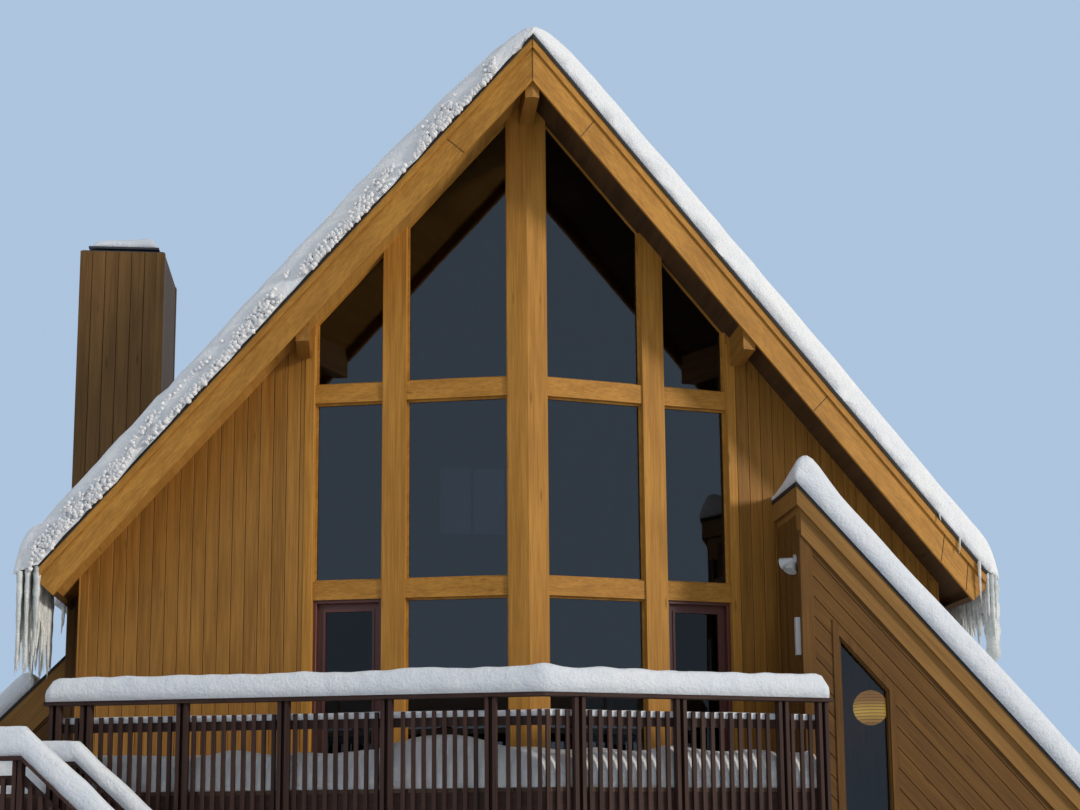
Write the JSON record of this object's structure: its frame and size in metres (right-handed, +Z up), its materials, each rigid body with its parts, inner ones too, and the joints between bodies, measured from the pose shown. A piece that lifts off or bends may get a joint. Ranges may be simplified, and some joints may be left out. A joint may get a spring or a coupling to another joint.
{
  "type": "a-frame cabin",
  "caption": "Prow-fronted A-frame cabin with a glazed gable, hinged front doors, railed deck, outside stair, lean-to wings, chimney chase and snow on its roofs.",
  "frame": {"origin": "centre of the foot of the centre post of the glazed front, at ground level", "axes": "+X to the right seen from the front, +Y into the building, +Z up"},
  "size_m": [13.7, 12.5743, 10.6087],
  "materials": {
    "siding": "stained softwood boards",
    "timber": "stained solid timber",
    "floor_wood": "plain boards",
    "deck_wood": "weathered dark stain",
    "rail_stain": "dark brown stain",
    "roofing": "dark coated sheet",
    "glass": "clear double glazing",
    "door_stain": "red-brown paint",
    "hardware": "satin",
    "cap_metal": "dark coated sheet",
    "lamp": "white coating",
    "lantern_paper": "thin ribbed paper",
    "snow": "settled snow"
  },
  "bodies": {
    "root": {"back_wall": "siding", "cap_snow": "snow", "centre_post": "timber", "chimney_cap": "cap_metal", "chimney_chase": "siding", "deck_beams": "deck_wood", "deck_boards": "deck_wood", "deck_joists": "deck_wood", "deck_posts": "deck_wood", "deck_rims": "deck_wood", "door_hinges": "hardware", "eave_fascias": "timber", "end_rail": "rail_stain", "floors": "floor_wood", "front_base": "siding", "front_glass": "glass", "front_posts": "timber", "front_sills": "timber", "front_wall_left": "siding", "front_wall_right": "siding", "lantern": "lantern_paper", "left_barge": "timber", "left_wall": "siding", "left_wing_front": "siding", "left_wing_trim": "timber", "rail_cap": "rail_stain", "rail_panels": "rail_stain", "rail_posts": "rail_stain", "right_barge": "timber", "right_wall": "siding", "right_wing_front": "siding", "right_wing_side": "siding", "right_wing_trim": "timber", "roof_beams": "timber", "roof_left": "roofing", "roof_right": "roofing", "roof_snow": "snow", "stair_caps": "rail_stain", "stair_landing": "deck_wood", "stair_posts": "rail_stain", "stair_rails": "rail_stain", "stair_stringers": "deck_wood", "stair_treads": "deck_wood", "transoms": "timber", "wall_lamps": "lamp", "window_glass": "glass", "wing_outer_walls": "siding", "wing_rear_walls": "siding", "wing_roofs": "roofing", "wing_snow": "snow"},
    "left_door": {"left_door": "door_stain", "left_door_glass": "glass", "left_door_handle": "hardware"},
    "right_door": {"right_door": "door_stain", "right_door_glass": "glass", "right_door_handle": "hardware"}
  },
  "joints": [
    {"name": "left_door_hinge", "type": "hinge", "parent": "root", "child": "left_door", "pos_m": [-2.24967, 0.64321, 3.5], "axis": [0, 0, 1], "range_deg": [0, 95]},
    {"name": "right_door_hinge", "type": "hinge", "parent": "root", "child": "right_door", "pos_m": [2.24967, 0.64321, 3.5], "axis": [0, 0, 1], "range_deg": [-95, 0]}
  ]
}
